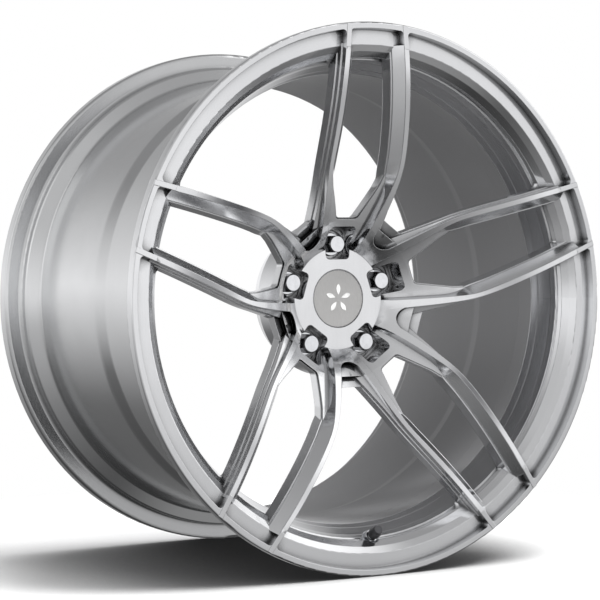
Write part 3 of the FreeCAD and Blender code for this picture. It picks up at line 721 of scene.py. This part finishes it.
class WHEEL_OT_valve(bpy.types.Operator):
    """Valve metals and rubbers, and the grip ribs of its cap"""

    bl_idname = "wheel.valve"
    bl_label = "Valve"

    def execute(self, context):
        detail = context.scene.wheel_detail
        nickel = plated_metal("valve_nickel", (0.70, 0.71, 0.73, 1.0), 0.12)
        brass = plated_metal("valve_brass", (0.72, 0.56, 0.28, 1.0), 0.2)
        plastic = moulded("cap_plastic", (0.035, 0.035, 0.038, 1.0), 0.35, 1500.0)
        rubber = moulded("valve_rubber", (0.02, 0.02, 0.02, 1.0), 0.6, 1200.0)
        finishes = {
            nickel: ("valve_stem", "valve_nut", "valve_washer"),
            brass: ("valve_core_body", "valve_core_pin", "valve_core_spring"),
            plastic: ("valve_cap",),
            rubber: ("valve_grommet", "valve_core_seal", "valve_cap_seal"),
        }
        for material, nodes in finishes.items():
            for node in nodes:
                paint_node(node, material)
        axis = Vector(JOINTS["valve_cap_off"]["axis"])
        low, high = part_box("valve_cap")
        middle = (low + high) / 2
        rib = outline_prism("rib", [(-0.3 * MM, -0.22 * MM), (0.28 * MM, -0.12 * MM),
                                    (0.28 * MM, 0.12 * MM), (-0.3 * MM, 0.22 * MM)],
                            -4.6 * MM, 3.4 * MM, 0.06 * MM)
        ribs = run_tree("valve_cap_ribs", circle_tree(), axis_matrix(axis, middle), {
            "Count": detail.rib_count, "Radius": 5.4 * MM, "Shape": rib, "Material": plastic})
        bpy.data.objects.remove(rib)
        settle(ribs, "valve_dust_cap", plastic)
        return {"FINISHED"}


# ---------------------------------------------------------------- stage


def stage_plane(name, size, place, material):
    """Square plate of the stage, which isn't part of the wheel."""
    half = size / 2
    mesh = bpy.data.meshes.new(name)
    corners = [(-half, -half, 0), (half, -half, 0), (half, half, 0), (-half, half, 0)]
    mesh.from_pydata(corners, [], [(0, 1, 2, 3)])
    mesh.materials.append(material)
    plane = bpy.data.objects.new(name, mesh)
    plane.location = place
    bpy.context.scene.collection.objects.link(plane)
    return plane


def area_light(name, place, aim, size, power):
    """Soft rectangular light that looks at a point."""
    data = bpy.data.lights.new(name, "AREA")
    data.shape = "RECTANGLE"
    data.size, data.size_y = size
    data.energy = power
    light = bpy.data.objects.new(name, data)
    light.location = place
    light.rotation_euler = (Vector(aim) - Vector(place)).to_track_quat("-Z", "Y").to_euler()
    light.visible_glossy = False
    bpy.context.scene.collection.objects.link(light)
    return light


def soft_box(tree, direction, inner, outer, strength):
    """Round soft glow of the studio around a direction; returns its brightness."""
    place = add_node(tree, "ShaderNodeTexCoord")
    facing = add_node(tree, "ShaderNodeVectorMath", operation="DOT_PRODUCT")
    tree.links.new(place.outputs["Generated"], facing.inputs[0])
    facing.inputs[1].default_value = Vector(direction).normalized()
    return remap(tree, facing.outputs["Value"], math.cos(math.radians(outer)),
                 math.cos(math.radians(inner)), 0.0, strength)


def brightness_ramp(tree, level, label, stops):
    """Brightness of a studio wall from below to above; stops are (sine of elevation, value)."""
    ramp = add_node(tree, "ShaderNodeValToRGB", label)
    tree.links.new(level, ramp.inputs["Fac"])
    elements = ramp.color_ramp.elements
    for rise, value in stops[1:-1]:
        elements.new((rise + 1) / 2).color = (value, value, value * 1.01, 1.0)
    for end, (_, value) in ((0, stops[0]), (len(elements) - 1, stops[-1])):
        elements[end].color = (value, value, value * 1.01, 1.0)
    return ramp.outputs["Color"]


def studio_world():
    """Studio walls as the metal sees them; the camera itself sees plain white."""
    world = bpy.data.worlds.new("studio")
    world.use_nodes = True
    tree = world.node_tree
    back = next(node for node in tree.nodes if node.type == "BACKGROUND")
    place = add_node(tree, "ShaderNodeTexCoord")
    split = add_node(tree, "ShaderNodeSeparateXYZ")
    tree.links.new(place.outputs["Generated"], split.inputs[0])
    level = remap_linear(tree, split.outputs["Z"], -1.0, 1.0)
    rear = brightness_ramp(tree, level, "rear wall", REAR_WALL)
    front = brightness_ramp(tree, level, "front wall", FRONT_WALL)
    side = remap(tree, split.outputs["Y"], -0.45, 0.35)
    total = mixed(tree, side, front, rear)
    for direction, inner, outer, strength in GLOWS:
        glow = soft_box(tree, direction, inner, outer, strength)
        added = add_node(tree, "ShaderNodeMix", data_type="RGBA", blend_type="ADD")
        added.inputs["Factor"].default_value = 1.0
        tree.links.new(total, added.inputs[6])
        tree.links.new(glow, added.inputs[7])
        total = added.outputs[2]
    path = add_node(tree, "ShaderNodeLightPath")
    seen = mixed(tree, path.outputs["Is Camera Ray"], total, (1.0, 1.0, 1.0, 1.0))
    tree.links.new(seen, back.inputs["Color"])
    return world


def remap_linear(tree, value, low, high):
    """Plain linear map of a value between two limits to 0 and 1."""
    node = add_node(tree, "ShaderNodeMapRange")
    tree.links.new(value, node.inputs["Value"])
    node.inputs["From Min"].default_value = low
    node.inputs["From Max"].default_value = high
    return node.outputs["Result"]


def floor_paint():
    """Pale matt floor, darker under the wheel and fading to plain white far away."""
    material, tree, shader = bare_material("floor_paint")
    shader.inputs["Roughness"].default_value = 0.85
    haze = effect(tree, "polish_haze", Cloud_size=2.0, Scratch_size=60.0)
    tone = mixed(tree, haze.outputs["Cloud"], (0.95, 0.95, 0.95, 1.0), (0.93, 0.93, 0.93, 1.0))
    nook = add_node(tree, "ShaderNodeAmbientOcclusion", "contact shade")
    nook.inputs["Distance"].default_value = CONTACT_REACH
    shade = math_node(tree, "POWER", nook.outputs["AO"], CONTACT_STRENGTH)
    tone = mixed(tree, shade, (0.0, 0.0, 0.0, 1.0), tone)
    tree.links.new(tone, shader.inputs["Base Color"])
    place = add_node(tree, "ShaderNodeTexCoord")
    reach = add_node(tree, "ShaderNodeVectorMath", operation="LENGTH")
    tree.links.new(place.outputs["Object"], reach.inputs[0])
    far = remap(tree, reach.outputs["Value"], FADE_START, FADE_END)
    white = add_node(tree, "ShaderNodeEmission")
    white.inputs["Strength"].default_value = 1.0
    blend = add_node(tree, "ShaderNodeMixShader")
    tree.links.new(far, blend.inputs["Fac"])
    tree.links.new(shader.outputs[0], blend.inputs[1])
    tree.links.new(white.outputs[0], blend.inputs[2])
    end = next(node for node in tree.nodes if node.type == "OUTPUT_MATERIAL")
    tree.links.new(blend.outputs[0], end.inputs["Surface"])
    return material


class WHEEL_OT_stage(bpy.types.Operator):
    """Pale floor, soft lights, studio walls and the camera"""

    bl_idname = "wheel.stage"
    bl_label = "Stage"

    def execute(self, context):
        setup = context.scene.wheel_stage
        floor = stage_plane("floor", setup.floor_size, (0.0, 0.0, FLOOR_Z), floor_paint())
        floor.visible_glossy = False
        context.scene.world = studio_world()
        area_light("key", (0.9, -1.2, 2.6), (0, 0, 0), (1.4, 1.4), 170.0)
        area_light("top", (0.3, 0.5, 3.0), (0, 0, 0), (2.4, 1.6), 110.0)
        data = bpy.data.cameras.new("camera")
        data.lens = setup.lens
        data.sensor_width = 36.0
        camera = bpy.data.objects.new("camera", data)
        camera.location = setup.camera_place
        camera.rotation_euler = Vector(setup.camera_aim).to_track_quat("-Z", "Y").to_euler()
        context.scene.collection.objects.link(camera)
        context.scene.camera = camera
        context.scene.view_settings.view_transform = "Standard"
        return {"FINISHED"}


class WHEEL_PT_panel(bpy.types.Panel):
    """Buttons that make each part of the wheel"""

    bl_idname = "WHEEL_PT_panel"
    bl_label = "Forged wheel"
    bl_space_type = "VIEW_3D"
    bl_region_type = "UI"
    bl_category = "Wheel"

    def draw(self, context):
        for operator in OPERATORS:
            self.layout.operator(operator.bl_idname)
        for group in (context.scene.wheel_finish, context.scene.wheel_detail,
                      context.scene.wheel_stage):
            box = self.layout.box()
            for name in group.__annotations__:
                box.prop(group, name)


OPERATORS = (WHEEL_OT_centre, WHEEL_OT_barrel, WHEEL_OT_bolts, WHEEL_OT_cap, WHEEL_OT_valve,
             WHEEL_OT_stage)
GROUPS = {"wheel_finish": WheelFinish, "wheel_detail": WheelDetail, "wheel_stage": WheelStage}


def register():
    """Registers every class and hangs the settings on the scene."""
    for group in GROUPS.values():
        bpy.utils.register_class(group)
    for name, group in GROUPS.items():
        setattr(bpy.types.Scene, name, PointerProperty(type=group))
    for operator in OPERATORS:
        bpy.utils.register_class(operator)
    bpy.utils.register_class(WHEEL_PT_panel)


def unregister():
    """Removes what register added."""
    bpy.utils.unregister_class(WHEEL_PT_panel)
    for operator in reversed(OPERATORS):
        bpy.utils.unregister_class(operator)
    for name, group in GROUPS.items():
        delattr(bpy.types.Scene, name)
        bpy.utils.unregister_class(group)


def main():
    """Makes every piece and the stage."""
    register()
    for operator in OPERATORS:
        getattr(bpy.ops.wheel, operator.bl_idname.split(".")[1])()


if __name__ == "__main__":
    main()
